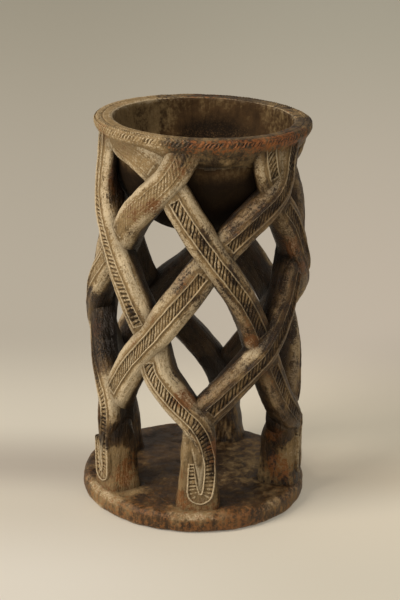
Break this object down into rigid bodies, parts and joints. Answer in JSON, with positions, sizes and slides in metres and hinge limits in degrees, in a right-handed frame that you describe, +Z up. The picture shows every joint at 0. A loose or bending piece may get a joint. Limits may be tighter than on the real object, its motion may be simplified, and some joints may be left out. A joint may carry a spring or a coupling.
{
  "type": "carved wooden cup",
  "caption": "Carved wooden divination cup: round bowl with a flared rim on an openwork drum of interlaced carved straps over a thick round base.",
  "frame": {"origin": "middle of the base's flat underside", "axes": "+Z up along the axis of the cup, -Y towards the front (the side in the picture), +X to the viewer's right"},
  "size_m": [0.1456, 0.1456, 0.249],
  "materials": {
    "strap_wood": "hand carved, worn and dusty on the ridges",
    "foot_wood": "dark patina with worn orange-brown edges",
    "base_wood": "dark patina, dusty top and rubbed edge",
    "bowl_wood": "very dark patina, tool marks",
    "rim_wood": "dark satin patina with a rubbed red-brown band"
  },
  "bodies": {
    "root": {"base_disc": "base_wood", "bowl": "bowl_wood", "rim_ring": "rim_wood", "foot_front": "foot_wood", "foot_right": "foot_wood", "foot_back": "foot_wood", "foot_rear_left": "foot_wood", "foot_left": "foot_wood", "looped_strap_front": "strap_wood", "looped_strap_right": "strap_wood", "looped_strap_back": "strap_wood", "looped_strap_rear_left": "strap_wood", "looped_strap_left": "strap_wood", "rising_strap_front": "strap_wood", "rising_strap_right": "strap_wood", "rising_strap_back": "strap_wood", "rising_strap_rear_left": "strap_wood", "rising_strap_left": "strap_wood"}
  },
  "joints": []
}
